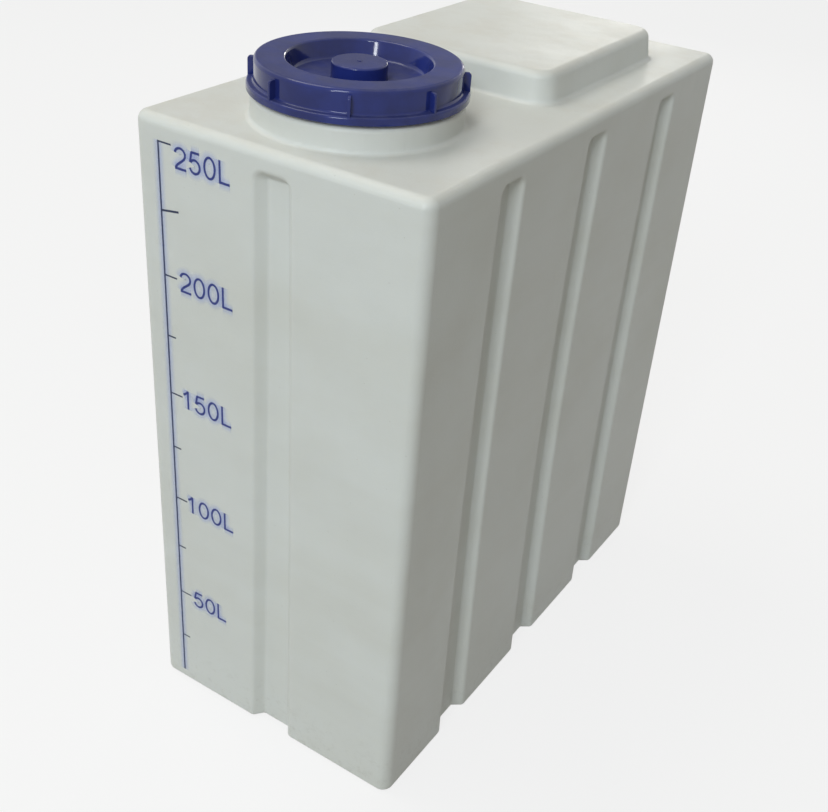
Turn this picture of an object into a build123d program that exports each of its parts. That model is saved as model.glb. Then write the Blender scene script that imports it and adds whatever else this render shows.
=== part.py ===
from build123d import *
import os
from math import radians, tan

# Upright water storage tank, moulded in one piece, with a screw lid over its filling neck.
# Millimetres, +Z up. The origin is the middle of the footprint on the floor.
# The narrow wall that faces -Y is the front.

# Body
tank_width = 410.0
tank_depth = 775.0
deck_height = 872.0
wall = 5.0
corner_radius = 16.0
base_edge_radius = 6.5
deck_edge_radius = 13.0

# Raised block on the rear of the deck
block_side_inset = 60.0
block_back_inset = 90.0
block_collar_gap = 69.0
block_height = 40.0
block_corner_radius = 34.0
block_draft = 9.0
block_top_radius = 12.0
block_foot_radius = 6.5

# Upright channels that stiffen the walls, open at the base
channel_top_width = 52.0
channel_base_width = 66.0
channel_depth = 14.0
channel_flank_angle = 38.0
channel_top_drop = 26.0
channel_corner_radius = 14.0
channel_lip_radius = 8.0
channel_root_radius = 5.0
channel_margin = 30.0
channel_pitch = 215.0
side_channel_count = 3

# Filling neck near the front of the deck, a broad collar with a threaded mouth on it
collar_front_gap = 32.0
collar_ledge = 16.0
collar_height = 30.0
collar_foot_radius = 6.0
collar_edge_radius = 6.5
neck_radius = 108.0
rim_chamfer = 1.2

# Screw lid
thread_room = 7.9
lid_wall = 3.6
lid_height = 36.0
lid_gap = 3.0
lid_top_radius = 5.0
flange_width = 8.5
flange_height = 9.0
flange_chamfer = 1.2
recess_bore_gap = 15.4
recess_depth = 22.0
recess_draft = 2.0
recess_edge_radius = 2.5
recess_root_radius = 3.0
boss_radius = 32.5
boss_drop = 3.0
boss_edge_radius = 2.5
gate_radius = 3.0
gate_height = 0.8

# Grips, thin upright ribs around the wall of the lid
grip_count = 8
grip_first_angle = 31.0
grip_thickness = 4.0
grip_top_drop = 6.0
grip_inset = 0.8
grip_corner_radius = 4.0
grip_chamfer = 1.0

# Seal ring between the rim of the neck and the lid
seal_thickness = 3.8
seal_overhang = 1.5
seal_gap = 0.3

# One-start screw thread, with ridges that narrow from root to crest
thread_pitch = 12.0
ridge_root_width = 5.2
ridge_crest_width = 2.6
ridge_overlap = 1.8
ridge_bite = 0.8
thread_play = 0.7
neck_thread_start = 6.0
neck_thread_turns = 1.25
lid_thread_start = 5.0
lid_thread_turns = 1.0

# Heights and places that follow from the sizes above
half_width = tank_width / 2
half_depth = tank_depth / 2
collar_radius = neck_radius + collar_ledge
bore_radius = neck_radius - wall
neck_y = collar_front_gap + collar_radius - half_depth
collar_top = deck_height + collar_height
lid_bottom = collar_top + lid_gap
lid_top = lid_bottom + lid_height
lid_ceiling = lid_top - lid_wall
lid_inner_radius = neck_radius + thread_room
lid_wall_radius = lid_inner_radius + lid_wall
flange_radius = lid_wall_radius + flange_width
recess_radius = bore_radius - recess_bore_gap - lid_wall
rim_height = lid_ceiling - seal_thickness - 2 * seal_gap
ridge_height = (thread_room + ridge_overlap) / 2
block_width = tank_width - 2 * block_side_inset
block_back = half_depth - block_back_inset
block_front = neck_y + collar_radius + block_collar_gap
block_length = block_back - block_front
block_y = (block_back + block_front) / 2
neck_axis = Axis((0, neck_y, 0), (0, 0, 1))
neck_section = Plane(origin=(0, neck_y, 0), x_dir=(1, 0, 0), z_dir=(0, -1, 0))


def level_shift(inset, slope):
    # how far the foot of a wall that leans by the slope moves when its faces move by the inset
    return inset * tan(radians(90 - slope) / 2)


def edges_at(part, height):
    # every edge that lies at one height
    return part.edges().filter_by_position(Axis.Z, height - 0.01, height + 0.01)


def wall_places(inset):
    # one plane for each channel, at the foot of its wall with x along the wall and z out of it
    side = half_width - inset
    end = half_depth - inset
    places = [
        Plane(origin=(0, -end, 0), x_dir=(1, 0, 0), z_dir=(0, -1, 0)),
        Plane(origin=(0, end, 0), x_dir=(-1, 0, 0), z_dir=(0, 1, 0)),
    ]
    for number in range(side_channel_count):
        along = (number - (side_channel_count - 1) / 2) * channel_pitch
        places.append(Plane(origin=(side, along, 0), x_dir=(0, 1, 0), z_dir=(1, 0, 0)))
        places.append(Plane(origin=(-side, along, 0), x_dir=(0, -1, 0), z_dir=(-1, 0, 0)))
    return places


def channel_space(inset, rounded):
    # what one channel takes out of its wall, with flanks and an upper end that slope to the bed
    growth = level_shift(inset, channel_flank_angle)
    top = deck_height - channel_top_drop + growth
    top_half = channel_top_width / 2 + growth
    base_half = channel_base_width / 2 + growth
    spread = (base_half - top_half) * channel_margin / top
    slab_half = base_half + channel_margin
    with BuildPart() as space:
        with BuildSketch() as mouth:
            with BuildLine():
                Polyline(
                    (-base_half - spread, -channel_margin),
                    (base_half + spread, -channel_margin),
                    (top_half, top),
                    (-top_half, top),
                    close=True,
                )
            make_face()
            fillet(mouth.vertices().group_by(Axis.Y)[-1], channel_corner_radius + growth)
        extrude(amount=-channel_depth, taper=channel_flank_angle)
        if rounded:
            fillet(space.faces().sort_by(Axis.Z)[0].edges(), channel_root_radius)
        with BuildSketch():
            with Locations((0, top / 2)):
                Rectangle(2 * slab_half, top + 4 * channel_margin)
        extrude(amount=channel_margin)
        # the lip all round the mouth is eased where the channel leaves the face of the wall
        if rounded:
            lips = edges_at(space, 0).filter_by(lambda edge: abs(edge.center().X) < slab_half - 1)
            lips = lips.filter_by(lambda edge: abs(edge.center().Y - top / 2) < top / 2 + 1.5 * channel_margin)
            fillet(lips, channel_lip_radius)
    return space.part


def moulded_form(inset, mouth_height, rounded):
    # the outside of the tank at no inset, and the hollow inside it at an inset of one wall
    # inside, the channels and the floor keep plain edges and those above the deck are chamfered
    space = channel_space(inset, rounded)
    ease = fillet if rounded else chamfer
    deck = deck_height - inset
    block_shift = level_shift(inset, block_draft)
    with BuildPart() as form:
        with BuildSketch(Plane.XY.offset(inset)):
            RectangleRounded(tank_width - 2 * inset, tank_depth - 2 * inset, corner_radius - inset)
        extrude(amount=deck - inset)
        fillet(edges_at(form, deck), deck_edge_radius - inset)
        with Locations(*wall_places(inset)):
            add(space, mode=Mode.SUBTRACT)
        if rounded:
            fillet(edges_at(form, 0), base_edge_radius)
        # raised block, with drafted walls
        with BuildSketch(Plane.XY.offset(deck)):
            with Locations((0, block_y)):
                RectangleRounded(
                    block_width - 2 * block_shift,
                    block_length - 2 * block_shift,
                    block_corner_radius - block_shift,
                )
        extrude(amount=block_height, taper=block_draft)
        ease(edges_at(form, deck + block_height), block_top_radius - inset)
        # collar and neck, turned about the axis of the lid
        with BuildSketch(neck_section) as turned:
            with BuildLine():
                Polyline(
                    (0, deck - wall),
                    (collar_radius - inset, deck - wall),
                    (collar_radius - inset, collar_top - inset),
                    (neck_radius - inset, collar_top - inset),
                    (neck_radius - inset, mouth_height),
                    (0, mouth_height),
                    close=True,
                )
            make_face()
            shoulder = turned.vertices().sort_by_distance((collar_radius - inset, collar_top - inset))[0]
            ease(shoulder, collar_edge_radius - inset)
        revolve(axis=neck_axis)
    return form.part


def thread_ridge(place, root_radius, turns, outwards):
    # helical ridge that starts at a place on the axis, standing out of the neck or in from the lid
    side = 1 if outwards else -1
    foot_width = ridge_root_width + (ridge_root_width - ridge_crest_width) * ridge_bite / ridge_height
    with BuildPart() as ridge:
        with BuildLine(place) as route:
            Helix(pitch=thread_pitch, height=turns * thread_pitch, radius=root_radius)
        with BuildSketch(Plane(origin=route.line @ 0, x_dir=place.x_dir, z_dir=route.line % 0)):
            with BuildLine():
                Polyline(
                    (-side * ridge_bite, -foot_width / 2),
                    (side * ridge_height, -ridge_crest_width / 2),
                    (side * ridge_height, ridge_crest_width / 2),
                    (-side * ridge_bite, foot_width / 2),
                    close=True,
                )
            make_face()
        sweep(is_frenet=True)
    return ridge.part


# Tank, one shell of even wall, on which block and collar run out into the deck in a curve
with BuildPart() as outside:
    add(moulded_form(0, rim_height, rounded=True))
    deck_edges = edges_at(outside, deck_height)
    block_foot = deck_edges.filter_by(lambda edge: block_front - 1 < edge.center().Y < block_back + 1)
    block_foot = block_foot.filter_by(lambda edge: abs(edge.center().X) < block_width / 2)
    fillet(block_foot, block_foot_radius)
    collar_foot = edges_at(outside, deck_height).filter_by(GeomType.CIRCLE)
    collar_foot = collar_foot.filter_by(lambda edge: abs(edge.radius - collar_radius) < 0.01)
    fillet(collar_foot, collar_foot_radius)

hollow = moulded_form(wall, rim_height + wall, rounded=False)
neck_thread_base = collar_top + neck_thread_start
neck_thread_place = Plane(origin=(0, neck_y, neck_thread_base), x_dir=(1, 0, 0), z_dir=(0, 0, 1))
neck_ridge = thread_ridge(neck_thread_place, neck_radius, neck_thread_turns, True)

with BuildPart() as tank:
    add(outside.part)
    add(hollow, mode=Mode.SUBTRACT)
    chamfer(edges_at(tank, rim_height), rim_chamfer)
    add(neck_ridge)
tank.part.label = "tank"

# Lid, one moulding: a skirt with a flange, a sunk top with a central boss, grips and the inner thread
lid_floor = lid_top - recess_depth
boss_top = lid_top - boss_drop
recess_root = recess_radius - recess_draft
lid_corners = [
    (lid_inner_radius, lid_bottom),
    (flange_radius, lid_bottom),
    (flange_radius, lid_bottom + flange_height),
    (lid_wall_radius, lid_bottom + flange_height),
    (lid_wall_radius, lid_top),
    (recess_radius, lid_top),
    (recess_root, lid_floor),
    (boss_radius, lid_floor),
    (boss_radius, boss_top),
    (0, boss_top),
    (0, boss_top - lid_wall),
    (boss_radius - lid_wall, boss_top - lid_wall),
    (boss_radius - lid_wall, lid_floor - lid_wall),
    (recess_root + lid_wall, lid_floor - lid_wall),
    (recess_radius + lid_wall, lid_ceiling),
    (lid_inner_radius, lid_ceiling),
]
lid_roundings = {
    4: lid_top_radius,
    5: recess_edge_radius,
    6: recess_root_radius,
    8: boss_edge_radius,
}
flange_corners = lid_corners[1:3]

# the lid's ridge bears on the underside of the neck's ridge, a little play below it
ridge_step = ridge_root_width - (ridge_root_width - ridge_crest_width) * thread_room / (2 * ridge_height)
lid_thread_base = lid_bottom + lid_thread_start
lid_thread_lag = lid_thread_base + ridge_step + thread_play - neck_thread_base
lid_thread_angle = 360 * lid_thread_lag / thread_pitch
lid_thread_place = Plane(origin=(0, neck_y, lid_thread_base), z_dir=(0, 0, 1)).rotated((0, 0, lid_thread_angle))
lid_ridge = thread_ridge(lid_thread_place, lid_inner_radius, lid_thread_turns, False)

with BuildPart() as grip:
    grip_reach = flange_radius - grip_inset
    grip_base = lid_bottom + flange_height / 2
    with BuildSketch(Plane.XZ) as rib:
        with BuildLine():
            Polyline(
                (lid_wall_radius - lid_wall / 2, grip_base),
                (grip_reach, grip_base),
                (grip_reach, lid_top - grip_top_drop),
                (lid_wall_radius - lid_wall / 2, lid_top - grip_top_drop),
                close=True,
            )
        make_face()
        fillet(rib.vertices().sort_by_distance((grip_reach, lid_top - grip_top_drop))[0], grip_corner_radius)
    extrude(amount=grip_thickness / 2, both=True)
    outer_edges = grip.faces().filter_by(Axis.X).sort_by(Axis.X)[-1].edges().filter_by(Axis.Z)
    chamfer(outer_edges, grip_chamfer)

with BuildPart() as lid:
    with BuildSketch(neck_section) as profile:
        with BuildLine():
            Polyline(*lid_corners, close=True)
        make_face()
        for number, radius in lid_roundings.items():
            fillet(profile.vertices().sort_by_distance(lid_corners[number])[0], radius)
        for corner in flange_corners:
            chamfer(profile.vertices().sort_by_distance(corner)[0], flange_chamfer)
    revolve(axis=neck_axis)
    with Locations((0, neck_y, 0)):
        with PolarLocations(0, grip_count, start_angle=grip_first_angle):
            add(grip.part)
    # gate mark left by moulding at the middle of the boss
    with BuildSketch(Plane.XY.offset(boss_top)):
        with Locations((0, neck_y)):
            Circle(gate_radius)
    extrude(amount=gate_height)
    add(lid_ridge)
lid.part.label = "lid"

# Seal ring, cut from flat sheet and seated on the rim
with BuildPart() as lid_seal:
    with BuildSketch(Plane.XY.offset(rim_height + seal_gap)):
        with Locations((0, neck_y)):
            Circle(neck_radius + seal_overhang)
            Circle(bore_radius, mode=Mode.SUBTRACT)
    extrude(amount=seal_thickness)
lid_seal.part.label = "lid_seal"

os.makedirs("parts", exist_ok=True)
export_step(tank.part, "parts/tank.step")
export_step(lid.part, "parts/lid.step")
export_step(lid_seal.part, "parts/lid_seal.step")
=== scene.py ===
"""Looks of an upright water storage tank with a screw lid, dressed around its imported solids.

Every length is in metres and every place is in the row frame: +Z up, the front wall facing -Y and
the origin in the middle of the footprint on the floor.
"""
import logging
import math
from dataclasses import dataclass, field
from enum import Enum
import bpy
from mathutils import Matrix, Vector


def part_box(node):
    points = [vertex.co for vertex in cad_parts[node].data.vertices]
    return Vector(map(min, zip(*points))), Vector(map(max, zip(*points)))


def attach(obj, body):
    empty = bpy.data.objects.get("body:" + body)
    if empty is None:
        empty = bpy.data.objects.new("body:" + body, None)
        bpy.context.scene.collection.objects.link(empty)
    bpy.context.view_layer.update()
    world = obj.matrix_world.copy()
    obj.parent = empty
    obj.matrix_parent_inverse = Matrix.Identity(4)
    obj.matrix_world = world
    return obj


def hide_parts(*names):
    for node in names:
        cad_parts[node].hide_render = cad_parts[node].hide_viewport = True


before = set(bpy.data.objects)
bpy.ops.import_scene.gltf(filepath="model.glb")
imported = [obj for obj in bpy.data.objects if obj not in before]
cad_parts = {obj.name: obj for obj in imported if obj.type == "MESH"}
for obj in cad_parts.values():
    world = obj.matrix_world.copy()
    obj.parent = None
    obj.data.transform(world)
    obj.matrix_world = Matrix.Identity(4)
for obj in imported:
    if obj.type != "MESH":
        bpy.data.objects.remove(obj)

from types import MappingProxyType
from typing import Iterable, Mapping, Sequence, Union

import bmesh
import bpy
from mathutils import Matrix, Vector

log = logging.getLogger("water_tank")

Value = Union["Wire", float]
Settings = Mapping[str, object]
Inputs = Mapping[Union[str, int], object]
Row = list[bmesh.types.BMVert]
Triple = tuple[float, float, float]
# red, green and blue, as light
Colour = Triple
# a place in an outline or on a wall, across and up
Flat = tuple[float, float]
# a corner of an outline, across and up, and the radius that it is rounded to
Corner = Triple
# the places along the middle of a stroke, and its width
Stroke = tuple[Sequence[Flat], float]
# how far a face looks up where an effect starts, and where it is whole
Span = tuple[float, float]

# settings or inputs of a node that has none
NOTHING: Mapping = MappingProxyType({})
# name of the mesh attribute that says how much of a tinge a point holds
COVER = "cover"
# points that are nearer than this are one point
TOUCHING = 1e-6
# steps in a whole turn of the round pieces
STEPS_AROUND = 216


class Body(Enum):
    """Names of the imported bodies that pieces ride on."""

    TANK = "tank_body"
    SEAL = "seal_body"
    LID = "lid_body"


class Slot(Enum):
    """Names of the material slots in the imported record."""

    TANK = "tank_shell"
    LID = "lid_shell"
    SEAL = "seal"


class Wire:
    """One output of a shader node, on which arithmetic adds Math nodes."""

    def __init__(self, tree: "ShaderTree", socket: bpy.types.NodeSocket) -> None:
        """Wraps a socket.

        Args:
            tree: The shader tree that the socket belongs to.
            socket: The output socket.
        """
        self.tree = tree
        self.socket = socket

    def maths(self, operation: str, other: Value, swapped: bool = False) -> "Wire":
        """Adds one Math node that works on this wire.

        Args:
            operation: Name of the Math node's operation.
            other: The second value or wire.
            swapped: Whether the second value goes first.

        Returns:
            The result's wire.
        """
        first, second = (other, self) if swapped else (self, other)
        return self.tree.node("ShaderNodeMath", {"operation": operation}, {0: first, 1: second})

    def __add__(self, other: Value) -> "Wire":
        """This wire plus another value."""
        return self.maths("ADD", other)

    def __radd__(self, other: Value) -> "Wire":
        """Another value plus this wire."""
        return self.maths("ADD", other, swapped=True)

    def __sub__(self, other: Value) -> "Wire":
        """This wire less another value."""
        return self.maths("SUBTRACT", other)

    def __rsub__(self, other: Value) -> "Wire":
        """Another value less this wire."""
        return self.maths("SUBTRACT", other, swapped=True)

    def __mul__(self, other: Value) -> "Wire":
        """This wire times another value."""
        return self.maths("MULTIPLY", other)

    def __rmul__(self, other: Value) -> "Wire":
        """Another value times this wire."""
        return self.maths("MULTIPLY", other, swapped=True)

    def __pow__(self, other: Value) -> "Wire":
        """This wire raised to a power."""
        return self.maths("POWER", other)

    def __rpow__(self, other: Value) -> "Wire":
        """Another value raised to this wire."""
        return self.maths("POWER", other, swapped=True)

    def least(self, other: Value) -> "Wire":
        """The smaller of this wire and another value."""
        return self.maths("MINIMUM", other)

    def most(self, other: Value) -> "Wire":
        """The larger of this wire and another value."""
        return self.maths("MAXIMUM", other)

    def step(self, low: float, high: float) -> "Wire":
        """Eases from 0 to 1 while this wire goes from low to high.

        Args:
            low: Where the result is 0.
            high: Where the result is 1. It may be under low, which turns the step round.

        Returns:
            The eased wire.
        """
        if low > high:
            return 1.0 - self.step(high, low)
        settings = {"interpolation_type": "SMOOTHSTEP"}
        return self.tree.node("ShaderNodeMapRange", settings, {"Value": self, 1: low, 2: high})


@dataclass(frozen=True)
class Pattern:
    """Cloudy noise on a surface, and how it is cut to patches.

    Attributes:
        size: Size of its blobs, in metres times the stretch.
        low: Value of the noise where a patch starts.
        high: Value of the noise where a patch is whole.
        detail: Number of finer layers.
        rough: Strength of the finer layers.
        stretch: Factors that scale the place along each axis first, or None.
    """

    size: float
    low: float = 0.0
    high: float = 1.0
    detail: float = 2.0
    rough: float = 0.5
    stretch: Triple | None = None

    def cut(self, noise: Wire) -> Wire:
        """Cuts the pattern's noise to patches, 0 beside them and 1 within."""
        return noise.step(self.low, self.high)


class ShaderTree:
    """The node tree of a material or of the world, built through short calls."""

    def __init__(self, owner: Union[str, bpy.types.World]) -> None:
        """Starts an empty tree.

        Args:
            owner: Name of a new material, or the world that the tree belongs to.
        """
        self.owner = bpy.data.materials.new(owner) if isinstance(owner, str) else owner
        self.owner.use_nodes = True
        self.nodes = self.owner.node_tree.nodes
        self.links = self.owner.node_tree.links
        self.nodes.clear()

    def add(
        self, kind: str, settings: Settings = NOTHING, inputs: Inputs = NOTHING
    ) -> dict[str, Wire]:
        """Adds a node.

        Args:
            kind: The node's type.
            settings: Values of the node's own properties.
            inputs: Values or wires for its sockets, by name or number.

        Returns:
            The wires of its outputs in use, by name.
        """
        made = self.nodes.new(kind)
        for key, value in settings.items():
            setattr(made, key, value)
        for key, value in inputs.items():
            socket = made.inputs[key]
            if isinstance(value, Wire):
                self.links.new(value.socket, socket)
            elif socket.type == "RGBA":
                socket.default_value = (*value, 1.0)
            else:
                socket.default_value = value
        return {socket.name: Wire(self, socket) for socket in made.outputs if socket.enabled}

    def node(self, kind: str, settings: Settings = NOTHING, inputs: Inputs = NOTHING) -> Wire:
        """Adds a node and hands back the wire of its first output in use."""
        return next(iter(self.add(kind, settings, inputs).values()))

    def place(self) -> Wire:
        """The surface point in the row frame, which goes with the piece when it moves."""
        return self.add("ShaderNodeTexCoord")["Object"]

    def stretched(self, scale: Triple) -> Wire:
        """The surface point with each axis scaled by its own factor."""
        settings = {"operation": "MULTIPLY"}
        return self.node("ShaderNodeVectorMath", settings, {0: self.place(), 1: scale})

    def parts_of(self, vector: Wire) -> tuple[Wire, Wire, Wire]:
        """Splits a vector.

        Args:
            vector: The wire of a vector.

        Returns:
            The wires of its x, y and z.
        """
        split = self.add("ShaderNodeSeparateXYZ", inputs={0: vector})
        return split["X"], split["Y"], split["Z"]

    def facing_up(self) -> Wire:
        """How far the surface faces up, from -1 to 1, on the piece as it stands at rest."""
        return self.parts_of(self.add("ShaderNodeNewGeometry")["Normal"])[2]

    def noise(self, pattern: Pattern) -> Wire:
        """Adds the noise of a pattern.

        Args:
            pattern: The pattern.

        Returns:
            The noise, about 0.5 on average.
        """
        place = self.stretched(pattern.stretch) if pattern.stretch else self.place()
        look = {"Scale": 1.0 / pattern.size, "Detail": pattern.detail, "Roughness": pattern.rough}
        return self.node("ShaderNodeTexNoise", inputs={"Vector": place, **look})

    def patches(self, pattern: Pattern) -> Wire:
        """Adds the noise of a pattern, cut to patches."""
        return pattern.cut(self.noise(pattern))

    def mix(self, factor: Value, first: object, second: object) -> Wire:
        """Blends two colours.

        Args:
            factor: 0 for the first colour and 1 for the second.
            first: A colour or the wire of one.
            second: A colour or the wire of one.

        Returns:
            The blended colour.
        """
        settings = {"data_type": "RGBA", "clamp_factor": True}
        # the node's colours are its sockets 6 and 7
        return self.node("ShaderNodeMix", settings, {0: factor, 6: first, 7: second})

    def bump(
        self, height: Wire, distance: float, strength: float = 1.0, under: Wire | None = None
    ) -> Wire:
        """Turns a height into a bent normal.

        Args:
            height: The height, from 0 to 1.
            distance: What a height of 1 stands for, in metres.
            strength: Strength of the effect.
            under: The normal of coarser relief that this one is laid on.

        Returns:
            The bent normal.
        """
        inputs = {"Height": height, "Distance": distance, "Strength": strength}
        if under is not None:
            inputs["Normal"] = under
        return self.node("ShaderNodeBump", inputs=inputs)

    def surface(self, inputs: Inputs) -> bpy.types.Material:
        """Closes the material with a Principled shader.

        Args:
            inputs: Values or wires for the shader's sockets.

        Returns:
            The finished material.
        """
        return self.close(self.node("ShaderNodeBsdfPrincipled", inputs=inputs))

    def close(self, shader: Wire, output: str = "ShaderNodeOutputMaterial") -> bpy.types.Material:
        """Links a shader to the output and hands the tree's owner back."""
        self.add(output, inputs={"Surface": shader})
        return self.owner

    def for_the_eye(self) -> Wire:
        """Tells the rays that show a backdrop, in view or in a gloss, from those that light.

        Returns:
            1 for the rays that show it, and 0 for the others.
        """
        path = self.add("ShaderNodeLightPath")
        seen = path["Is Camera Ray"] + path["Is Glossy Ray"] + path["Is Transmission Ray"]
        return seen.least(1.0)


@dataclass(frozen=True)
class MouldedPolyethylene:
    """Natural polyethylene of the tank: milky, satin and softly uneven from its mould."""

    body: Colour = (0.715, 0.738, 0.715)
    shade: Colour = (0.678, 0.692, 0.655)
    dust: Colour = (0.60, 0.55, 0.46)
    # colour of splashed and rubbed grime, also laid in the pinholes as painted shade
    grime_and_pit_shade: Colour = (0.34, 0.32, 0.27)
    clouds: Pattern = Pattern(0.16, 0.35, 0.70, detail=4.0)
    cloud_cover: float = 0.6
    bands: Pattern = Pattern(0.9, 0.40, 0.70, detail=3.0, rough=0.6, stretch=(1.0, 1.0, 16.0))
    band_cover: float = 0.35
    dusty: Span = (0.35, 0.95)
    dust_cover: float = 0.17
    drifts: Pattern = Pattern(0.05, 0.42, 0.68, detail=6.0, rough=0.62)
    drift_cover: float = 0.15
    specks: Pattern = Pattern(0.0022, 0.68, 0.76)
    speck_cover: float = 0.35
    splashes: Pattern = Pattern(0.012, 0.50, 0.72, detail=5.0, rough=0.7)
    splash_height: float = 0.11
    splash_cover: float = 0.22
    rubs: Pattern = Pattern(1.0, 0.66, 0.78, detail=5.0, rough=0.65, stretch=(120.0, 120.0, 9.0))
    rubbed_places: Pattern = Pattern(0.11, 0.50, 0.70)
    rub_cover: float = 0.16
    pit_pitch: float = 0.011
    pit_edge: float = 0.085
    pit_floor: float = 0.03
    pitted_places: Pattern = Pattern(0.03, 0.52, 0.62, detail=1.0)
    # how far the painted shade darkens the pinholes
    pit_shade_cover: float = 0.35
    sway: Pattern = Pattern(0.085, rough=0.4)
    sway_depth: float = 0.0035
    peel: Pattern = Pattern(0.0035)
    peel_depth: float = 0.00022
    grain: Pattern = Pattern(0.0009, rough=0.6)
    grain_depth: float = 0.00012
    rough: float = 0.40
    roughest: float = 0.85
    ior: float = 1.51
    milkiness: float = 0.20
    milk_radius: Triple = (1.0, 0.95, 0.80)
    milk_depth: float = 0.010

    def material(self) -> bpy.types.Material:
        """Builds the material.

        Returns:
            The material of the tank.
        """
        tree = ShaderTree("moulded_polyethylene")
        up = tree.facing_up()
        height = tree.parts_of(tree.place())[2]
        clouds, bands = tree.noise(self.clouds), tree.noise(self.bands)
        uneven = self.clouds.cut(clouds) * self.cloud_cover
        uneven = uneven + self.bands.cut(bands) * self.band_cover
        colour = tree.mix(uneven, self.body, self.shade)
        # dust lies on what faces up, in drifts and specks
        drifts = tree.patches(self.drifts) * self.drift_cover
        specks = tree.patches(self.specks) * self.speck_cover
        settled = up.step(*self.dusty) * (drifts + specks + self.dust_cover)
        colour = tree.mix(settled, colour, self.dust)
        # splashes of the floor's dirt near the foot of the walls
        splashes = tree.patches(self.splashes) * height.step(self.splash_height, 0.0)
        colour = tree.mix(splashes * self.splash_cover, colour, self.grime_and_pit_shade)
        # rubbed marks, long and faint, run mostly upright
        marks = tree.patches(self.rubs) * tree.patches(self.rubbed_places)
        colour = tree.mix(marks * self.rub_cover, colour, self.grime_and_pit_shade)
        # pinholes that trapped air leaves in a moulded skin, darkened with the grime colour as
        # painted shade in the holes
        cells = {"Vector": tree.place(), "Scale": 1.0 / self.pit_pitch}
        holes = tree.node("ShaderNodeTexVoronoi", inputs=cells)
        pits = holes.step(self.pit_edge, self.pit_floor) * tree.patches(self.pitted_places)
        colour = tree.mix(pits * self.pit_shade_cover, colour, self.grime_and_pit_shade)
        # relief, from the sway of the walls down to the grain with its marks and pinholes
        normal = tree.bump(tree.noise(self.sway), self.sway_depth)
        normal = tree.bump(tree.noise(self.peel), self.peel_depth, 0.7, normal)
        grain = tree.noise(self.grain) + marks * 0.8 - pits * 1.6
        normal = tree.bump(grain, self.grain_depth, 0.8, normal)
        rough = self.rough + clouds * 0.10 + settled * 0.35 + marks * 0.12 - bands * 0.04
        return tree.surface(
            {
                "Base Color": colour,
                "Roughness": rough.least(self.roughest),
                "Normal": normal,
                "IOR": self.ior,
                "Subsurface Weight": self.milkiness,
                "Subsurface Radius": self.milk_radius,
                "Subsurface Scale": self.milk_depth,
            }
        )


@dataclass(frozen=True)
class BluePolypropylene:
    """Deep blue polypropylene of the lid: glossy, with scuffs and dust where it faces up."""

    body: Colour = (0.013, 0.021, 0.130)
    thin: Colour = (0.017, 0.030, 0.190)
    haze: Colour = (0.140, 0.142, 0.200)
    scratch: Colour = (0.26, 0.26, 0.36)
    clouds: Pattern = Pattern(0.045, 0.35, 0.68, detail=4.0, rough=0.55)
    hazy: Span = (0.55, 0.97)
    haze_cover: float = 0.17
    drifts: Pattern = Pattern(0.018, 0.38, 0.68, detail=6.0, rough=0.65)
    drift_cover: float = 0.15
    specks: Pattern = Pattern(0.0011, 0.66, 0.74)
    speckled_places: Pattern = Pattern(0.02, 0.45, 0.60)
    speck_cover: float = 0.35
    along: Pattern = Pattern(1.0, 0.67, 0.74, detail=4.0, rough=0.6, stretch=(38.0, 900.0, 900.0))
    across: Pattern = Pattern(1.0, 0.69, 0.76, detail=4.0, rough=0.6, stretch=(800.0, 60.0, 800.0))
    scratched_places: Pattern = Pattern(0.03, 0.45, 0.62)
    scratched: Span = (0.1, 0.8)
    scratch_cover: float = 0.45
    flow: Pattern = Pattern(0.030, rough=0.4)
    flow_depth: float = 0.00045
    grain: Pattern = Pattern(0.0011)
    grain_depth: float = 0.00003
    rough: float = 0.14
    dulled: Span = (0.7, 0.98)
    ior: float = 1.49
    gloss: float = 0.10
    coat: float = 0.50
    coated: Span = (0.985, 0.80)
    coat_rough: float = 0.07

    def material(self) -> bpy.types.Material:
        """Builds the material.

        Returns:
            The material of the lid.
        """
        tree = ShaderTree("blue_polypropylene")
        up = tree.facing_up()
        clouds = tree.noise(self.clouds)
        colour = tree.mix(self.clouds.cut(clouds), self.body, self.thin)
        # fine scuffs and dust lie on what faces up, in drifts and specks
        drifts = tree.patches(self.drifts) * self.drift_cover
        specks = tree.patches(self.specks) * tree.patches(self.speckled_places)
        veil = up.step(*self.hazy) * (self.haze_cover + drifts + specks * self.speck_cover)
        colour = tree.mix(veil, colour, self.haze)
        # short scratches in two directions
        scratches = tree.patches(self.along).most(tree.patches(self.across))
        scratches = scratches * tree.patches(self.scratched_places) * up.step(*self.scratched)
        colour = tree.mix(scratches * self.scratch_cover, colour, self.scratch)
        # relief, from the flow marks of the mould down to the grain with its scratches
        normal = tree.bump(tree.noise(self.flow), self.flow_depth)
        grain = tree.noise(self.grain) - scratches * 0.9
        normal = tree.bump(grain, self.grain_depth, 0.6, normal)
        rough = self.rough + up.step(*self.dulled) * 0.30
        rough = rough + veil * 0.30 + clouds * 0.05 + scratches * 0.2
        return tree.surface(
            {
                "Base Color": colour,
                "Roughness": rough,
                "Normal": normal,
                "IOR": self.ior,
                "Specular IOR Level": self.gloss,
                "Coat Weight": up.step(*self.coated) * self.coat,
                "Coat Roughness": self.coat_rough,
            }
        )


@dataclass(frozen=True)
class SealRubber:
    """Black rubber of the seal ring, matt with a fine grain."""

    body: Colour = (0.020, 0.020, 0.021)
    bloom: Colour = (0.055, 0.053, 0.050)
    clouds: Pattern = Pattern(0.009, 0.45, 0.75, detail=5.0, rough=0.6)
    grain: Pattern = Pattern(0.0007, detail=3.0)
    grain_depth: float = 0.00008
    rough: float = 0.62

    def material(self) -> bpy.types.Material:
        """Builds the material.

        Returns:
            The material of the seal.
        """
        tree = ShaderTree("seal_rubber")
        clouds = tree.noise(self.clouds)
        colour = tree.mix(self.clouds.cut(clouds), self.body, self.bloom)
        normal = tree.bump(tree.noise(self.grain), self.grain_depth)
        rough = self.rough + clouds * 0.2
        return tree.surface({"Base Color": colour, "Roughness": rough, "Normal": normal})


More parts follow.
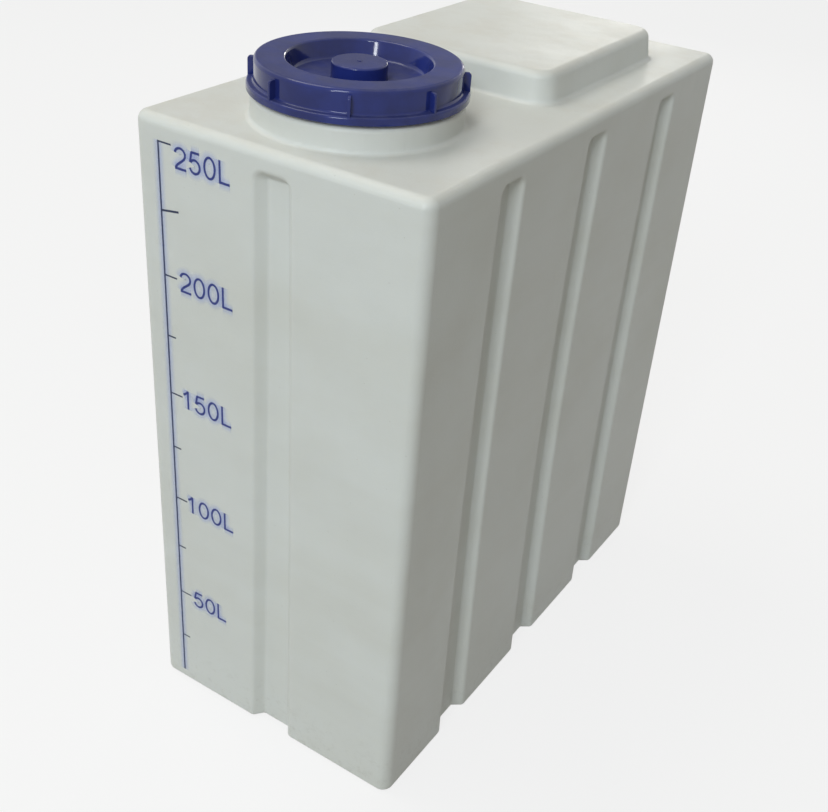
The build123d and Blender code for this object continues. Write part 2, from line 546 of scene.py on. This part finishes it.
@dataclass(frozen=True)
class ScaleInk:
    """Ink of the litre scale, printed thinly, so that the tank shows through where it is worn."""

    name: str
    body: Colour
    worn: Colour
    cover: float = 0.93
    blots: Pattern = Pattern(0.004, 0.52, 0.78, detail=5.0, rough=0.7)
    blot_wear: float = 0.55
    washes: Pattern = Pattern(0.035, 0.50, 0.80, detail=3.0)
    wash_wear: float = 0.25
    pinholes: Pattern = Pattern(0.0009, 0.66, 0.74)
    grain: Pattern = Pattern(0.0012, detail=3.0)
    grain_depth: float = 0.00005
    rough: float = 0.42

    def material(self) -> bpy.types.Material:
        """Builds the material.

        Returns:
            The material of the print.
        """
        tree = ShaderTree(self.name)
        blots = tree.noise(self.blots)
        worn = self.blots.cut(blots) * self.blot_wear + tree.patches(self.washes) * self.wash_wear
        pinholes = tree.patches(self.pinholes)
        return tree.surface(
            {
                "Base Color": tree.mix(worn, self.body, self.worn),
                "Roughness": self.rough + blots * 0.2,
                "Normal": tree.bump(tree.noise(self.grain), self.grain_depth),
                "Alpha": self.cover - worn * 0.12 - pinholes * 0.5,
            }
        )


@dataclass(frozen=True)
class InkBleed:
    """Blue tinge that the ink leaves in the milky wall beside each stroke."""

    body: Colour = (0.44, 0.53, 1.0)
    depth: float = 0.42
    fall_off: float = 1.4
    patches: Pattern = Pattern(0.009, detail=3.0)
    unevenness: float = 0.5
    rough: float = 0.45

    def material(self) -> bpy.types.Material:
        """Builds the material.

        Returns:
            The material of the tinge.
        """
        tree = ShaderTree("ink_bleed")
        cover = tree.add("ShaderNodeAttribute", {"attribute_name": COVER})["Fac"]
        patches = tree.noise(self.patches)
        uneven = 1.0 - self.unevenness / 2 + patches * self.unevenness
        return tree.surface(
            {
                "Base Color": self.body,
                "Roughness": self.rough + patches * 0.1,
                "Alpha": cover**self.fall_off * uneven * self.depth,
            }
        )


@dataclass(frozen=True)
class PaleGround:
    """Pale floor: near white to the camera, and a mid grey to the light that it throws back."""

    seen: Colour = (0.955, 0.955, 0.955)
    glow: Colour = (0.935, 0.935, 0.935)
    glow_share: float = 0.85
    lit: Colour = (0.33, 0.31, 0.262)

    def material(self) -> bpy.types.Material:
        """Builds the material.

        Returns:
            The material of the floor.
        """
        tree = ShaderTree("pale_ground")
        shaded = tree.node("ShaderNodeBsdfDiffuse", inputs={"Color": self.seen})
        glow = tree.node("ShaderNodeEmission", inputs={"Color": self.glow})
        thrown = tree.node("ShaderNodeBsdfDiffuse", inputs={"Color": self.lit})
        pale = tree.node("ShaderNodeMixShader", inputs={0: self.glow_share, 1: shaded, 2: glow})
        both = {0: tree.for_the_eye(), 1: thrown, 2: pale}
        return tree.close(tree.node("ShaderNodeMixShader", inputs=both))


def foot_of(low: Vector, high: Vector) -> Vector:
    """The middle of a box's underside."""
    return Vector(((low.x + high.x) / 2, (low.y + high.y) / 2, low.z))


def around(radius: float, angle: float, height: float) -> Vector:
    """The point at a radius, an angle in radians and a height about an upright axis."""
    return Vector((radius * math.cos(angle), radius * math.sin(angle), height))


def neighbours(rows: Sequence[Row], closed: bool) -> list[tuple[Row, Row]]:
    """Pairs of rows that follow each other, and of the last and the first one if closed."""
    pairs = list(zip(rows, rows[1:]))
    return pairs + [(rows[-1], rows[0])] if closed else pairs


def add_form(name: str, form: bmesh.types.BMesh) -> bpy.types.Object:
    """Links a new object that holds a form.

    Args:
        name: Name of the piece.
        form: The form, in the row frame, which is freed.

    Returns:
        The new object.
    """
    mesh = bpy.data.meshes.new(name)
    form.to_mesh(mesh)
    form.free()
    piece = bpy.data.objects.new(name, mesh)
    bpy.context.scene.collection.objects.link(piece)
    return piece


def dress(piece: bpy.types.Object, material: bpy.types.Material) -> None:
    """Gives a piece one material in place of those that it has.

    Args:
        piece: The piece.
        material: Its new material.
    """
    piece.data.materials.clear()
    piece.data.materials.append(material)


def finish_form(name: str, form: bmesh.types.BMesh, sharp_angle: float) -> bpy.types.Object:
    """Turns a form into a piece whose flat faces stay flat beside its roundings.

    Args:
        name: Name of the piece.
        form: The form, which is freed.
        sharp_angle: The angle from which its edges are sharp, in degrees.

    Returns:
        The piece.
    """
    bmesh.ops.recalc_face_normals(form, faces=form.faces)
    limit = math.radians(sharp_angle)
    for face in form.faces:
        face.smooth = True
    for edge in form.edges:
        edge.smooth = len(edge.link_faces) == 2 and edge.calc_face_angle(0.0) < limit
    piece = add_form(name, form)
    evened = piece.modifiers.new("evened_shading", "WEIGHTED_NORMAL")
    evened.keep_sharp = True
    return piece


def rounded_outline(corners: Sequence[Corner], closed: bool, steps: int = 7) -> list[Flat]:
    """Rounds the corners of an outline.

    Args:
        corners: Corners of the outline, each with the radius that it is rounded to.
        closed: Whether the last corner runs on to the first.
        steps: Number of steps in a quarter turn.

    Returns:
        The points of the rounded outline.
    """
    points: list[Flat] = []
    count = len(corners)
    for number, (across, up, radius) in enumerate(corners):
        corner = Vector((across, up))
        if radius <= 0.0 or not closed and number in (0, count - 1):
            points.append((across, up))
            continue
        before = (Vector(corners[number - 1][:2]) - corner).normalized()
        after = (Vector(corners[(number + 1) % count][:2]) - corner).normalized()
        half = before.angle(after) / 2
        middle = corner + (before + after).normalized() * radius / math.sin(half)
        start = corner + before * radius / math.tan(half) - middle
        end = corner + after * radius / math.tan(half) - middle
        turn = start.angle_signed(end)
        pieces = max(2, math.ceil(steps * abs(turn) / (math.pi / 2)))
        for piece in range(pieces + 1):
            angle = -turn * piece / pieces
            cosine, sine = math.cos(angle), math.sin(angle)
            turned = (start.x * cosine - start.y * sine, start.x * sine + start.y * cosine)
            points.append(tuple(middle + Vector(turned)))
    return points


def turned_form(outline: Sequence[Flat], centre: Vector, closed: bool) -> bmesh.types.BMesh:
    """Turns an outline of radii and heights about an upright axis.

    Args:
        outline: The outline. An end at radius 0 becomes a single point.
        centre: A point on the axis, from which the heights are taken.
        closed: Whether the outline is a ring of its own.

    Returns:
        The form.
    """
    form = bmesh.new()
    rings: list[Row] = []
    for radius, height in outline:
        if radius < TOUCHING:
            rings.append([form.verts.new(centre + around(0.0, 0.0, height))] * STEPS_AROUND)
            continue
        angles = [2 * math.pi * number / STEPS_AROUND for number in range(STEPS_AROUND)]
        rings.append([form.verts.new(centre + around(radius, a, height)) for a in angles])
    for low, high in neighbours(rings, closed):
        for number in range(STEPS_AROUND):
            following = (number + 1) % STEPS_AROUND
            corners = [low[number], low[following], high[following], high[number]]
            form.faces.new(list(dict.fromkeys(corners)))
    return form


@dataclass
class TankShell:
    """The moulded tank, with walls that draw in a little between floor and deck."""

    node: str = "tank"
    deck_height: float = 0.872
    skin: float = 0.00025
    skin_run: float = 0.020
    side_dish: float = 0.0068
    end_dish: float = 0.0016
    cell: float = 0.030
    sharp_angle: float = 38.0
    finish: MouldedPolyethylene = MouldedPolyethylene()
    half_width: float = field(init=False, default=0.0)
    half_depth: float = field(init=False, default=0.0)

    def __post_init__(self) -> None:
        """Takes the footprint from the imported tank."""
        low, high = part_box(self.node)
        self.half_width = (high.x - low.x) / 2
        self.half_depth = (high.y - low.y) / 2

    def drawn_in(self, point: Vector) -> Vector:
        """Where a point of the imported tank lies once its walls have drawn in.

        Args:
            point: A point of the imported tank.

        Returns:
            The same point of the real one.
        """
        if point.z >= self.deck_height:
            return point.copy()
        belly = math.sin(math.pi * max(point.z, 0.0) / self.deck_height)
        skin = self.skin * min(1.0, (self.deck_height - point.z) / self.skin_run)
        across = point.x / self.half_width
        along = point.y / self.half_depth
        side = skin + belly * self.side_dish * math.cos(math.pi / 2 * along)
        end = skin + belly * self.end_dish * math.cos(math.pi / 2 * across)
        return Vector((point.x - side * across, point.y - end * along, point.z))

    def build(self) -> bpy.types.Object:
        """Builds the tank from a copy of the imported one, and dresses it.

        Returns:
            The tank's object.
        """
        form = bmesh.new()
        form.from_mesh(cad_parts[self.node].data)
        bmesh.ops.remove_doubles(form, verts=form.verts, dist=TOUCHING)
        self._cut_into_cells(form)
        for vert in form.verts:
            vert.co = self.drawn_in(vert.co)
        piece = finish_form("tank_shell", form, self.sharp_angle)
        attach(piece, Body.TANK.value)
        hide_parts(self.node)
        dress(piece, self.finish.material())
        return piece

    def _cut_into_cells(self, form: bmesh.types.BMesh) -> None:
        """Cuts the walls along upright and level planes, so that they can bend.

        Args:
            form: The tank's mesh.
        """
        reach = (self.half_width, self.half_depth, self.deck_height)
        for axis, furthest in enumerate(reach):
            first = 0.0 if axis == 2 else -furthest
            count = int((furthest - first) / self.cell)
            normal = Vector([float(i == axis) for i in range(3)])
            for number in range(1, count):
                place = normal * (first + number * (furthest - first) / count)
                geometry = form.verts[:] + form.edges[:] + form.faces[:]
                bmesh.ops.bisect_plane(
                    form, geom=geometry, dist=TOUCHING, plane_co=place, plane_no=normal
                )


@dataclass
class ScrewLid:
    """The screw lid: a skirt with flange and grips, a sunk top with a boss, and a thread within."""

    node: str = "lid"
    wall: float = 0.0036
    wall_radius: float = 0.1195
    top_rounding: float = 0.0050
    fine_rounding: float = 0.0012
    flange_height: float = 0.0090
    flange_rounding: float = 0.0030
    flange_root: float = 0.0030
    foot_rounding: float = 0.0010
    inner_foot_rounding: float = 0.0005
    recess_radius: float = 0.0840
    recess_depth: float = 0.0220
    recess_lean: float = 0.0062
    recess_lip: float = 0.0038
    recess_root: float = 0.0060
    under_lip: float = 0.0020
    under_root: float = 0.0030
    boss_radius: float = 0.0325
    boss_drop: float = 0.0030
    boss_rounding: float = 0.0024
    gate_radius: float = 0.0030
    gate_height: float = 0.0008
    gate_rounding: float = 0.0003
    grip_count: int = 8
    grip_first_angle: float = 31.0
    grip_thickness: float = 0.0038
    grip_top_drop: float = 0.0060
    grip_inset: float = 0.0008
    grip_rounding: float = 0.0040
    grip_edge: float = 0.0009
    grip_edge_steps: int = 3
    thread_pitch: float = 0.0120
    thread_foot: float = 0.0050
    thread_first_angle: float = 173.5
    thread_root_width: float = 0.0052
    thread_crest_width: float = 0.0026
    thread_reach: float = 0.00485
    thread_bite: float = 0.0008
    thread_sink: float = 0.00001
    thread_run_out: int = 12
    sharp_angle: float = 42.0
    finish: BluePolypropylene = BluePolypropylene()
    centre: Vector = field(init=False, default_factory=Vector)
    height: float = field(init=False, default=0.0)
    flange_radius: float = field(init=False, default=0.0)

    def __post_init__(self) -> None:
        """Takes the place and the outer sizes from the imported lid."""
        low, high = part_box(self.node)
        self.centre = foot_of(low, high)
        self.height = high.z - low.z
        self.flange_radius = (high.x - low.x) / 2

    def outline(self) -> list[Flat]:
        """Half of the lid's section, from the middle of its top to the middle of its underside.

        Returns:
            Radii, and heights above the foot of the lid.
        """
        top = self.height
        floor = top - self.recess_depth
        boss = top - self.boss_drop
        root = self.recess_radius - self.recess_lean
        inner = self.wall_radius - self.wall
        corners = [
            (0.0, boss + self.gate_height, 0.0),
            (self.gate_radius, boss + self.gate_height, self.gate_rounding),
            (self.gate_radius, boss, self.gate_rounding),
            (self.boss_radius, boss, self.boss_rounding),
            (self.boss_radius, floor, self.fine_rounding),
            (root, floor, self.recess_root),
            (self.recess_radius, top, self.recess_lip),
            (self.wall_radius, top, self.top_rounding),
            (self.wall_radius, self.flange_height, self.flange_root),
            (self.flange_radius, self.flange_height, self.flange_rounding),
            (self.flange_radius, 0.0, self.foot_rounding),
            (inner, 0.0, self.inner_foot_rounding),
            (inner, top - self.wall, self.fine_rounding),
            (self.recess_radius + self.wall, top - self.wall, self.under_lip),
            (root + self.wall, floor - self.wall, self.under_root),
            (self.boss_radius - self.wall, floor - self.wall, self.fine_rounding),
            (self.boss_radius - self.wall, boss - self.wall, self.fine_rounding),
            (0.0, boss - self.wall, 0.0),
        ]
        return rounded_outline(corners, closed=False)

    def _add_grip(self, form: bmesh.types.BMesh, angle: float) -> None:
        """Adds one grip, a thin upright rib with eased edges that is sunk into the wall.

        Args:
            form: The lid's form.
            angle: The grip's place around the lid, in degrees.
        """
        reach = self.flange_radius - self.grip_inset
        top = self.height - self.grip_top_drop
        foot = self.flange_height / 2
        sunk = self.wall_radius - self.wall / 2
        corners = [(sunk, foot), (reach, foot), (reach, top), (sunk, top)]
        roundings = (0.0, 0.0, self.grip_rounding, 0.0)
        outline = rounded_outline([(*c, r) for c, r in zip(corners, roundings)], closed=True)
        half = self.grip_thickness / 2
        rib = bmesh.new()
        side = rib.faces.new([rib.verts.new((across, -half, up)) for across, up in outline])
        for item in bmesh.ops.extrude_face_region(rib, geom=[side])["geom"]:
            if isinstance(item, bmesh.types.BMVert):
                item.co.y = half
        eased = [edge for edge in rib.edges if edge.verts[0].co.y == edge.verts[1].co.y]
        eased = [edge for edge in eased if max(v.co.x for v in edge.verts) > sunk + TOUCHING]
        bmesh.ops.recalc_face_normals(rib, faces=rib.faces)
        shape = {"offset": self.grip_edge, "segments": self.grip_edge_steps, "profile": 0.5}
        bmesh.ops.bevel(rib, geom=eased, affect="EDGES", **shape)
        place = Matrix.Translation(self.centre) @ Matrix.Rotation(math.radians(angle), 4, "Z")
        bmesh.ops.transform(rib, matrix=place, verts=rib.verts)
        mesh = bpy.data.meshes.new("grip")
        rib.to_mesh(mesh)
        rib.free()
        form.from_mesh(mesh)
        bpy.data.meshes.remove(mesh)

    def _add_thread(self, form: bmesh.types.BMesh) -> None:
        """Adds the thread, one turn of a ridge that runs out into the skirt at both ends.

        Args:
            form: The lid's form.
        """
        inner = self.wall_radius - self.wall
        root = inner + self.thread_bite
        rows: list[Row] = []
        for number in range(STEPS_AROUND + 1):
            share = number / STEPS_AROUND
            angle = math.radians(self.thread_first_angle) + 2 * math.pi * share
            middle = self.thread_foot + self.thread_pitch * share
            grown = min(1.0, min(number, STEPS_AROUND - number) / self.thread_run_out)
            rise = self.thread_reach * math.sin(math.pi / 2 * grown)
            crest = inner - rise + self.thread_sink
            section = (
                (root, -self.thread_root_width / 2),
                (crest, -self.thread_crest_width / 2),
                (crest, self.thread_crest_width / 2),
                (root, self.thread_root_width / 2),
            )
            places = [self.centre + around(radius, angle, middle + up) for radius, up in section]
            rows.append([form.verts.new(place) for place in places])
        for first, second in neighbours(rows, closed=False):
            for low, high in ((0, 1), (1, 2), (2, 3), (3, 0)):
                form.faces.new((first[low], second[low], second[high], first[high]))
        form.faces.new(rows[0])
        form.faces.new(list(reversed(rows[-1])))

    def build(self) -> bpy.types.Object:
        """Builds the lid and dresses it.

        Returns:
            The lid's object.
        """
        form = turned_form(self.outline(), self.centre, closed=False)
        for number in range(self.grip_count):
            self._add_grip(form, self.grip_first_angle + 360.0 * number / self.grip_count)
        self._add_thread(form)
        piece = finish_form("screw_lid", form, self.sharp_angle)
        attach(piece, Body.LID.value)
        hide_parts(self.node)
        dress(piece, self.finish.material())
        return piece


@dataclass
class SealRing:
    """The seal: a flat rubber ring with its edges a little eased."""

    node: str = "lid_seal"
    width: float = 0.0065
    rounding: float = 0.0007
    rounding_steps: int = 4
    sharp_angle: float = 50.0
    finish: SealRubber = SealRubber()

    def build(self) -> bpy.types.Object:
        """Builds the seal and dresses it.

        Returns:
            The seal's object.
        """
        low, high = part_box(self.node)
        outer = (high.x - low.x) / 2
        inner = outer - self.width
        thick = high.z - low.z
        square = [(inner, 0.0), (outer, 0.0), (outer, thick), (inner, thick)]
        corners = [(*corner, self.rounding) for corner in square]
        outline = rounded_outline(corners, closed=True, steps=self.rounding_steps)
        form = turned_form(outline, foot_of(low, high), closed=True)
        piece = finish_form("seal_ring", form, self.sharp_angle)
        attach(piece, Body.SEAL.value)
        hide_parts(self.node)
        dress(piece, self.finish.material())
        return piece


def arc(middle: Flat, reach: Flat, start: float, end: float, count: int) -> list[Flat]:
    """Points along an arc of an ellipse.

    Args:
        middle: Middle of the ellipse.
        reach: Its half width and half height.
        start: Angle of the first point, in degrees.
        end: Angle of the last point, in degrees.
        count: Number of steps.

    Returns:
        The points.
    """
    (across, up), (wide, tall) = middle, reach
    angles = [math.radians(start + (end - start) * number / count) for number in range(count + 1)]
    return [(across + wide * math.cos(angle), up + tall * math.sin(angle)) for angle in angles]


def bend(points: Sequence[Flat], count: int = 12) -> list[Flat]:
    """Points along the cubic curve of four control points.

    Args:
        points: The control points.
        count: Number of steps.

    Returns:
        The points.
    """
    result = []
    for number in range(count + 1):
        t = number / count
        weights = ((1 - t) ** 3, 3 * t * (1 - t) ** 2, 3 * t * t * (1 - t), t**3)
        result.append(tuple(sum(w * p[axis] for w, p in zip(weights, points)) for axis in range(2)))
    return result


@dataclass(frozen=True)
class PlainFigures:
    """Strokes of plain figures, in a cell one unit high, drawn along the middle of each stroke."""

    stem: float = 0.055
    width: float = 0.665

    def strokes(self, sign: str) -> list[list[Flat]]:
        """The strokes of one figure.

        Args:
            sign: The figure: 0, 1, 2, 5 or L.

        Returns:
            The points of each stroke.
        """
        low, high, middle = self.stem, 1.0 - self.stem, self.width / 2
        if sign == "0":
            return [arc((middle, 0.5), (middle - low, 0.5 - low), 90.0, 450.0, 44)]
        if sign == "1":
            flag = bend([(0.13, 0.735), (0.25, 0.785), (0.35, 0.87), (0.405, 0.985)])
            return [flag, [(0.405, 1.0), (0.405, 0.0)]]
        if sign == "2":
            bowl = arc((middle + 0.005, 0.685), (middle - low, 0.315 - low), 172.0, -28.0, 22)
            slope = bend([bowl[-1], (0.49, 0.40), (0.13, 0.27), (0.085, low + 0.01)])
            return [bowl + slope[1:], [(0.03, low), (self.width - 0.01, low)]]
        if sign == "5":
            reach = (middle - low - 0.005, 0.345 - low)
            bowl = arc((middle - 0.005, 0.345), reach, 147.0, -164.0, 28)
            back = [(0.175, high + 0.02), (bowl[0][0] - 0.015, 0.50)]
            return [[(0.60, high), (0.155, high)], back, bowl]
        return [[(low + 0.02, 1.0), (low + 0.02, 0.0)], [(0.04, low), (0.60, low)]]


@dataclass
class LitreScale:
    """The printed scale on the front wall: an upright line, ten ticks and five figures."""

    shell: TankShell
    line_x: float = -0.1657
    line_width: float = 0.0024
    line_foot: float = 0.0172
    zero_height: float = 0.0047
    step_height: float = 0.08385
    step_litres: int = 25
    step_count: int = 10
    figure_every: int = 2
    long_tick: float = 0.0185
    short_tick: float = 0.0120
    last_short_tick: float = 0.0260
    last_short_rise: float = 0.0040
    tick_width: float = 0.0021
    last_short_width: float = 0.0027
    figure_x: float = -0.1417
    figure_height: float = 0.0276
    figure_pitch: float = 0.800
    figure_stroke: float = 0.0029
    figure_drop: float = 0.0015
    top_figure_drop: float = 0.0130
    leading_one_shift: float = 0.0060
    tinge_reach: float = 0.0085
    tinge_lift: float = 0.00004
    ink_lift: float = 0.00016
    layer: float = 0.000002
    cell: float = 0.010
    tinge_rows: tuple[float, ...] = (-1.0, -0.5, 0.0, 0.5, 1.0)
    ink_rows: tuple[float, ...] = (-1.0, 1.0)
    line_ink: ScaleInk = ScaleInk("line_ink", (0.012, 0.022, 0.070), (0.035, 0.052, 0.140))
    figure_ink: ScaleInk = ScaleInk("figure_ink", (0.016, 0.030, 0.200), (0.062, 0.088, 0.345))
    bleed: InkBleed = InkBleed()

    def tick_height(self, number: int) -> float:
        """Height of one tick above the floor."""
        return self.zero_height + number * self.step_height

    def ribbon(
        self, form: bmesh.types.BMesh, points: Sequence[Flat], half: float, lift: float, soft: bool
    ) -> None:
        """Adds one stroke as a flat ribbon on the front wall.

        Args:
            form: The form that takes the stroke.
            points: Places along its middle, across and up.
            half: Half of its width.
            lift: How far it lies in front of the wall.
            soft: Whether its cover fades from the middle to the edges.
        """
        cover = form.verts.layers.float[COVER]
        closed = (Vector(points[0]) - Vector(points[-1])).length < TOUCHING
        path = [Vector(point) for point in (points[:-1] if closed else points)]
        count = len(path)
        across = self.tinge_rows if soft else self.ink_rows
        rows: list[Row] = []
        for number, point in enumerate(path):
            before = path[number - 1] if closed or number else point
            after = path[(number + 1) % count] if closed or number < count - 1 else point
            along = (after - before).normalized()
            beside = Vector((-along.y, along.x))
            row = []
            for share in across:
                flat = point + beside * (share * half)
                place = Vector((flat.x, -self.shell.half_depth, flat.y))
                vert = form.verts.new(self.shell.drawn_in(place))
                vert.co.y -= lift
                vert[cover] = 1.0 - abs(share)
                row.append(vert)
            rows.append(row)
        for first, second in neighbours(rows, closed):
            for low in range(len(across) - 1):
                form.faces.new((first[low], first[low + 1], second[low + 1], second[low]))

    def straight(self, start: Flat, end: Flat) -> list[Flat]:
        """Points along a straight stroke, close enough to follow the wall.

        Args:
            start: Where it starts, across and up.
            end: Where it ends.

        Returns:
            The points.
        """
        first, last = Vector(start), Vector(end)
        count = max(1, round((last - first).length / self.cell))
        return [tuple(first.lerp(last, number / count)) for number in range(count + 1)]

    def line_stroke(self) -> list[Flat]:
        """The upright line, as the points along its middle."""
        top = self.tick_height(self.step_count) + self.tick_width / 2
        return self.straight((self.line_x, self.line_foot), (self.line_x, top))

    def tick_stroke(self, number: int) -> list[Flat]:
        """One tick, as the points along its middle.

        Args:
            number: Number of the tick, from the foot of the scale.

        Returns:
            The points.
        """
        height = self.tick_height(number)
        length = self.short_tick if number % self.figure_every else self.long_tick
        rise = 0.0
        if number == self.step_count - 1:
            length, rise = self.last_short_tick, self.last_short_rise
        start = self.line_x + self.line_width / 2
        return self.straight((start, height), (start + length, height + rise))

    def figure_strokes(self) -> list[list[Flat]]:
        """Draws the figures beside the long ticks.

        Returns:
            Each stroke, as the points along its middle.
        """
        figures = PlainFigures()
        strokes = []
        size = self.figure_height
        for number in range(self.figure_every, self.step_count + 1, self.figure_every):
            drop = self.top_figure_drop if number == self.step_count else self.figure_drop
            foot = self.tick_height(number) - drop - size / 2
            label = f"{number * self.step_litres}L"
            first = self.figure_x - (self.leading_one_shift if label[0] == "1" else 0.0)
            for place, sign in enumerate(label):
                left = first + place * self.figure_pitch * size
                for stroke in figures.strokes(sign):
                    points = [(left + across * size, foot + up * size) for across, up in stroke]
                    strokes.append(points)
        return strokes

    def printed(self, name: str, strokes: Sequence[Stroke], soft: bool) -> bpy.types.Object:
        """Lays strokes on the front wall as one thin piece.

        Args:
            name: Name of the piece.
            strokes: The strokes.
            soft: Whether they are the tinge under the ink, which fades to its edges.

        Returns:
            The piece.
        """
        form = bmesh.new()
        form.verts.layers.float.new(COVER)
        base = self.tinge_lift if soft else self.ink_lift
        for number, (points, width) in enumerate(strokes):
            self.ribbon(form, points, width / 2, base + number * self.layer, soft)
        form.normal_update()
        for face in form.faces:
            if face.normal.y > 0.0:
                face.normal_flip()
        piece = add_form(name, form)
        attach(piece, Body.TANK.value)
        return piece

    def build(self) -> list[bpy.types.Object]:
        """Builds the print and dresses it.

        Returns:
            The line with its ticks, the figures, and the tinge beside them.
        """
        lines = [(self.line_stroke(), self.line_width)]
        for number in range(1, self.step_count + 1):
            width = self.last_short_width if number == self.step_count - 1 else self.tick_width
            lines.append((self.tick_stroke(number), width))
        figures = [(stroke, self.figure_stroke) for stroke in self.figure_strokes()]
        widened = [(stroke, width + 2 * self.tinge_reach) for stroke, width in figures + lines[:1]]
        line = self.printed("scale_line", lines, soft=False)
        numbers = self.printed("scale_figures", figures, soft=False)
        tinge = self.printed("scale_tinge", widened, soft=True)
        dress(line, self.line_ink.material())
        dress(numbers, self.figure_ink.material())
        dress(tinge, self.bleed.material())
        return [line, numbers, tinge]


@dataclass
class PhotoCamera:
    """Camera at the photograph's place, as fitted to the tank's edges and its litre scale."""

    place: Triple = (0.7574, -1.3065, 1.3051)
    turn: float = 31.17
    tilt: float = 31.97
    roll: float = 4.53
    focal_pixels: float = 1159.3
    frame_width: float = 828.0
    sensor: float = 36.0

    def build(self) -> bpy.types.Object:
        """Builds the camera and makes it the scene's own.

        Returns:
            The camera's object.
        """
        turn, tilt, roll = (math.radians(a) for a in (self.turn, self.tilt, self.roll))
        cosine = math.cos(tilt)
        ahead = Vector((-math.sin(turn) * cosine, math.cos(turn) * cosine, -math.sin(tilt)))
        level = Vector((math.cos(turn), math.sin(turn), 0.0))
        upright = level.cross(ahead)
        right = level * math.cos(roll) + upright * math.sin(roll)
        up = upright * math.cos(roll) - level * math.sin(roll)
        data = bpy.data.cameras.new("photo_camera")
        data.sensor_width = self.sensor
        data.lens = self.sensor * self.focal_pixels / self.frame_width
        camera = bpy.data.objects.new("photo_camera", data)
        facing = Matrix((right, up, -ahead)).transposed().to_4x4()
        camera.matrix_world = Matrix.Translation(self.place) @ facing
        bpy.context.scene.collection.objects.link(camera)
        bpy.context.scene.camera = camera
        return camera


@dataclass(frozen=True)
class Lamp:
    """One area lamp, with its place, its width and height, its power in watts and its colour."""

    name: str
    place: Triple
    size: Flat
    power: float
    tint: Colour

    def hang(self, aim: Vector) -> None:
        """Hangs the lamp.

        Args:
            aim: The point that it shines on.
        """
        data = bpy.data.lights.new(self.name, "AREA")
        data.shape = "RECTANGLE"
        data.size, data.size_y = self.size
        data.energy = self.power
        data.color = self.tint
        lamp = bpy.data.objects.new(self.name, data)
        lamp.location = self.place
        lamp.rotation_euler = (aim - Vector(self.place)).to_track_quat("-Z", "Y").to_euler()
        bpy.context.scene.collection.objects.link(lamp)


@dataclass
class Studio:
    """Pale floor, soft sky and a few soft lamps."""

    floor_reach: float = 14.0
    aim: Triple = (0.0, 0.0, 0.6)
    sky_low: Colour = (0.094, 0.076, 0.054)
    sky_high: Colour = (0.72, 0.77, 0.775)
    sky_rear: Colour = (0.42, 0.41, 0.375)
    bright_side: Triple = (-0.14, -0.82, 0.55)
    rear_side: Triple = (-0.70, 0.69, 0.17)
    backdrop: Colour = (0.913, 0.913, 0.913)
    lamps: tuple[Lamp, ...] = (
        Lamp("key", (1.60, -5.9, 4.7), (1.7, 1.7), 146.0, (0.895, 0.955, 0.99)),
        Lamp("overhead", (-2.4, -0.4, 5.6), (2.4, 2.4), 76.0, (1.0, 0.962, 0.89)),
        Lamp("front_strip", (0.60, -3.87, 1.95), (0.32, 0.34), 11.0, (0.95, 0.98, 1.0)),
        Lamp("rear_strip", (-1.28, 3.49, 1.62), (0.50, 0.60), 10.0, (1.0, 0.97, 0.92)),
    )

    def build(self) -> None:
        """Builds the floor, the world and the lamps."""
        self._floor()
        self._world()
        for lamp in self.lamps:
            lamp.hang(Vector(self.aim))

    def _floor(self) -> None:
        """Builds the floor."""
        form = bmesh.new()
        bmesh.ops.create_grid(form, x_segments=1, y_segments=1, size=self.floor_reach)
        floor = add_form("floor", form)
        dress(floor, PaleGround().material())

    def _world(self) -> None:
        """Builds the world: a soft sky to the object and the backdrop's white to the camera."""
        world = bpy.data.worlds.new("sky")
        bpy.context.scene.world = world
        tree = ShaderTree(world)
        ahead = tree.add("ShaderNodeTexCoord")["Generated"]
        sky: Wire | Colour = self.sky_low
        settings = {"operation": "DOT_PRODUCT"}
        for side, glow in ((self.bright_side, self.sky_high), (self.rear_side, self.sky_rear)):
            towards = tree.add("ShaderNodeVectorMath", settings, {0: ahead, 1: side})["Value"]
            sky = tree.mix(towards.most(0.0), sky, glow)
        shown = tree.mix(tree.for_the_eye(), sky, self.backdrop)
        lit = tree.node("ShaderNodeBackground", inputs={"Color": shown})
        tree.close(lit, "ShaderNodeOutputWorld")


def main() -> None:
    """Builds every piece in order and reports each one."""
    logging.basicConfig(level=logging.INFO, format="%(name)s: %(message)s")
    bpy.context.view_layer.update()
    shell = TankShell()
    pieces = [shell.build(), *LitreScale(shell).build(), ScrewLid().build(), SealRing().build()]
    for piece in pieces:
        log.info("%s: %d faces", piece.name, len(piece.data.polygons))
    PhotoCamera().build()
    Studio().build()
    bpy.context.scene.view_settings.view_transform = "Standard"


if __name__ == "__main__":
    main()
